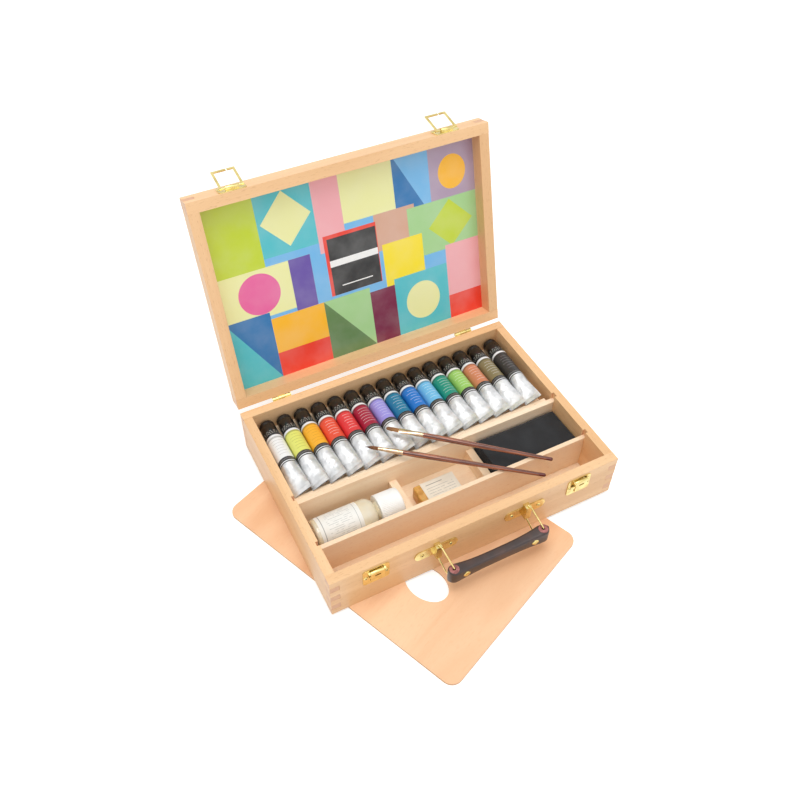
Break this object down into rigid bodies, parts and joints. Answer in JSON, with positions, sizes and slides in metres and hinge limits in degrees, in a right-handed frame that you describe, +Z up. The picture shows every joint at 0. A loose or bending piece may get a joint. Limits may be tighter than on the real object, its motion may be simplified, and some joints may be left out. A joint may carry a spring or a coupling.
{
  "type": "gouache paint set box",
  "caption": "Hinged wooden paint box standing open on its palette, holding paint tubes, brushes, a bottle, a gum block and a cloth, with catches and a carrying handle.",
  "frame": {"origin": "middle of the case's footprint, on the surface that the palette lies on", "axes": "+X to the case's right seen from its front, +Y to its back, +Z up"},
  "size_m": [0.3869, 0.4597, 0.3033],
  "materials": {
    "beech": "clear satin varnish",
    "beech_light": "clear satin varnish",
    "plywood": "bare sanded",
    "brass_fittings": "polished plated",
    "print": "printed card, satin",
    "grip_leather": "stitched and waxed",
    "paint_white": "printed label on satin metal",
    "paint_lemon": "printed label on satin metal",
    "paint_yellow": "printed label on satin metal",
    "paint_vermilion": "printed label on satin metal",
    "paint_red": "printed label on satin metal",
    "paint_carmine": "printed label on satin metal",
    "paint_lilac": "printed label on satin metal",
    "paint_teal": "printed label on satin metal",
    "paint_cobalt": "printed label on satin metal",
    "paint_sky": "printed label on satin metal",
    "paint_emerald": "printed label on satin metal",
    "paint_green": "printed label on satin metal",
    "paint_terracotta": "printed label on satin metal",
    "paint_olive": "printed label on satin metal",
    "paint_black": "printed label on satin metal",
    "brush_lacquer": "glossy lacquer",
    "ferrule_metal": "polished",
    "brush_hair": "soft hair",
    "bottle_glass": "clear, filled",
    "cap_plastic": "smooth",
    "gum": "wrapped in paper",
    "black_cloth": "woven"
  },
  "bodies": {
    "case": {"case_front": "beech", "case_back": "beech", "case_left": "beech", "case_right": "beech", "base_panel": "beech_light", "rear_divider": "beech", "front_divider": "beech", "left_partition": "beech", "right_partition": "beech", "tail_rail": "beech", "tube_shelf": "beech_light", "shelf_cleats": "beech_light", "case_hinge_leaves": "brass_fittings", "hinge_pins": "brass_fittings", "case_screws": "brass_fittings", "catch_plates": "brass_fittings", "handle_brackets": "brass_fittings"},
    "lid": {"lid_front": "beech", "lid_back": "beech", "lid_left": "beech", "lid_right": "beech", "lid_panel": "beech_light", "art_sheet": "print", "lid_hinge_leaves": "brass_fittings", "lid_screws": "brass_fittings", "latch_plates": "brass_fittings"},
    "left_frame": {"left_frame": "brass_fittings"},
    "right_frame": {"right_frame": "brass_fittings"},
    "left_lever": {"left_lever": "brass_fittings"},
    "right_lever": {"right_lever": "brass_fittings"},
    "left_bail": {"left_bail": "brass_fittings"},
    "right_bail": {"right_bail": "brass_fittings"},
    "grip": {"handle_grip": "grip_leather", "grip_rivets": "brass_fittings"},
    "tube_white": {"tube_white": "paint_white"},
    "tube_lemon": {"tube_lemon": "paint_lemon"},
    "tube_yellow": {"tube_yellow": "paint_yellow"},
    "tube_vermilion": {"tube_vermilion": "paint_vermilion"},
    "tube_sky": {"tube_sky": "paint_sky"},
    "tube_emerald": {"tube_emerald": "paint_emerald"},
    "tube_green": {"tube_green": "paint_green"},
    "tube_terracotta": {"tube_terracotta": "paint_terracotta"},
    "tube_olive": {"tube_olive": "paint_olive"},
    "tube_black": {"tube_black": "paint_black"},
    "middle_tubes": {"tube_red": "paint_red", "tube_carmine": "paint_carmine", "tube_lilac": "paint_lilac", "tube_teal": "paint_teal", "tube_cobalt": "paint_cobalt"},
    "gum_block": {"gum_block": "gum"},
    "cloth": {"cloth": "black_cloth"},
    "round_brush": {"round_brush_handle": "brush_lacquer", "round_brush_ferrule": "ferrule_metal", "round_brush_hair": "brush_hair"},
    "flat_brush": {"flat_brush_handle": "brush_lacquer", "flat_brush_ferrule": "ferrule_metal", "flat_brush_hair": "brush_hair"},
    "bottle": {"bottle": "bottle_glass"},
    "bottle_cap": {"bottle_cap": "cap_plastic"},
    "palette": {"palette": "plywood"}
  },
  "joints": [
    {"name": "lid_hinge", "type": "hinge", "parent": "case", "child": "lid", "pos_m": [0, 0.1241, 0.0602], "axis": [-1, 0, 0], "range_deg": [-105, 0]},
    {"name": "left_frame_hinge", "type": "hinge", "parent": "lid", "child": "left_frame", "pos_m": [-0.1205, 0.19255, 0.29944], "axis": [-1, 0, 0], "range_deg": [-158, 0]},
    {"name": "left_lever_hinge", "type": "hinge", "parent": "case", "child": "left_lever", "pos_m": [-0.1205, -0.1247, 0.0539], "axis": [-1, 0, 0], "range_deg": [0, 70]},
    {"name": "right_frame_hinge", "type": "hinge", "parent": "lid", "child": "right_frame", "pos_m": [0.1205, 0.19255, 0.29944], "axis": [-1, 0, 0], "range_deg": [-158, 0]},
    {"name": "right_lever_hinge", "type": "hinge", "parent": "case", "child": "right_lever", "pos_m": [0.1205, -0.1247, 0.0539], "axis": [-1, 0, 0], "range_deg": [0, 70]},
    {"name": "left_bail_hinge", "type": "hinge", "parent": "case", "child": "left_bail", "pos_m": [-0.053, -0.1259, 0.043], "axis": [0, 0, 1], "range_deg": [-58, 32]},
    {"name": "right_bail_hinge", "type": "hinge", "parent": "case", "child": "right_bail", "pos_m": [0.053, -0.1259, 0.043], "axis": [0, 0, 1], "range_deg": [-58, 32]},
    {"name": "grip_hinge", "type": "hinge", "parent": "left_bail", "child": "grip", "pos_m": [-0.04728, -0.14921, 0.0297], "axis": [0, 0, 1], "range_deg": [-32, 58]},
    {"name": "tube_white_lift", "type": "slide", "parent": "case", "child": "tube_white", "axis": [0, 0, 1], "range_m": [0, 0.08]},
    {"name": "tube_lemon_lift", "type": "slide", "parent": "case", "child": "tube_lemon", "axis": [0, 0, 1], "range_m": [0, 0.08]},
    {"name": "tube_yellow_lift", "type": "slide", "parent": "case", "child": "tube_yellow", "axis": [0, 0, 1], "range_m": [0, 0.08]},
    {"name": "tube_vermilion_lift", "type": "slide", "parent": "case", "child": "tube_vermilion", "axis": [0, 0, 1], "range_m": [0, 0.08]},
    {"name": "tube_sky_lift", "type": "slide", "parent": "case", "child": "tube_sky", "axis": [0, 0, 1], "range_m": [0, 0.08]},
    {"name": "tube_emerald_lift", "type": "slide", "parent": "case", "child": "tube_emerald", "axis": [0, 0, 1], "range_m": [0, 0.08]},
    {"name": "tube_green_lift", "type": "slide", "parent": "case", "child": "tube_green", "axis": [0, 0, 1], "range_m": [0, 0.08]},
    {"name": "tube_terracotta_lift", "type": "slide", "parent": "case", "child": "tube_terracotta", "axis": [0, 0, 1], "range_m": [0, 0.08]},
    {"name": "tube_olive_lift", "type": "slide", "parent": "case", "child": "tube_olive", "axis": [0, 0, 1], "range_m": [0, 0.08]},
    {"name": "tube_black_lift", "type": "slide", "parent": "case", "child": "tube_black", "axis": [0, 0, 1], "range_m": [0, 0.08]},
    {"name": "middle_tubes_lift", "type": "slide", "parent": "case", "child": "middle_tubes", "axis": [0, 0, 1], "range_m": [0, 0.08]},
    {"name": "gum_block_lift", "type": "slide", "parent": "middle_tubes", "child": "gum_block", "axis": [0, 0, 1], "range_m": [0, 0.06]},
    {"name": "cloth_lift", "type": "slide", "parent": "gum_block", "child": "cloth", "axis": [0, 0, 1], "range_m": [0, 0.06]},
    {"name": "round_brush_lift", "type": "slide", "parent": "cloth", "child": "round_brush", "axis": [0, 0, 1], "range_m": [0, 0.05]},
    {"name": "flat_brush_lift", "type": "slide", "parent": "cloth", "child": "flat_brush", "axis": [0, 0, 1], "range_m": [0, 0.05]},
    {"name": "bottle_lift", "type": "slide", "parent": "case", "child": "bottle", "axis": [0, 0, 1], "range_m": [0, 0.08]},
    {"name": "bottle_cap_twist", "type": "hinge", "parent": "bottle", "child": "bottle_cap", "pos_m": [-0.07, -0.04325, 0.0253], "axis": [1, 0, 0], "continuous": true},
    {"name": "palette_slide", "type": "slide", "parent": "case", "child": "palette", "axis": [0.3891, -0.9212, 0], "range_m": [0, 0.27]}
  ],
  "couplings": [
    {"joint": "right_bail_hinge", "follows": "left_bail_hinge", "ratio": 1},
    {"joint": "grip_hinge", "follows": "left_bail_hinge", "ratio": -1}
  ]
}
